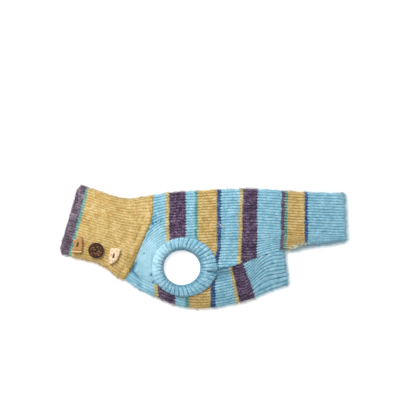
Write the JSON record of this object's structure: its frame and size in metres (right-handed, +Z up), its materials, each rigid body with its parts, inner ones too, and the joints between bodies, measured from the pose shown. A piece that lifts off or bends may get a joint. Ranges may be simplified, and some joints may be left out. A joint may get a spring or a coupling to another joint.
{
  "type": "dog sweater",
  "caption": "Ribbed knit dog sweater laid flat on its side: striped body, tube collar with decorative buttons, and a ribbed leg opening that runs through both layers.",
  "frame": {"origin": "on the surface the sweater lies on, under the middle of its outline", "axes": "+X from the collar's open edge towards the tail hem, +Y from the belly towards the spine, +Z up off the surface"},
  "size_m": [0.3721, 0.1606, 0.0106],
  "materials": {
    "knit_body": "brushed light blue mohair rib knit with purple, mustard, teal, navy and pale yellow stripes",
    "knit_collar": "brushed mustard mohair rib knit with a teal line and a purple edge",
    "knit_cuff": "brushed light blue rib knit",
    "button_wood": "smooth tan wood, oiled",
    "button_coconut": "rough dark coconut shell",
    "button_horn": "cream horn, satin"
  },
  "bodies": {
    "root": {"back_panel": "knit_body", "belly_panel": "knit_body", "collar": "knit_collar", "leg_cuff_near": "knit_cuff", "leg_cuff_far": "knit_cuff", "button_wood": "button_wood", "button_coconut": "button_coconut", "button_horn": "button_horn"}
  },
  "joints": []
}
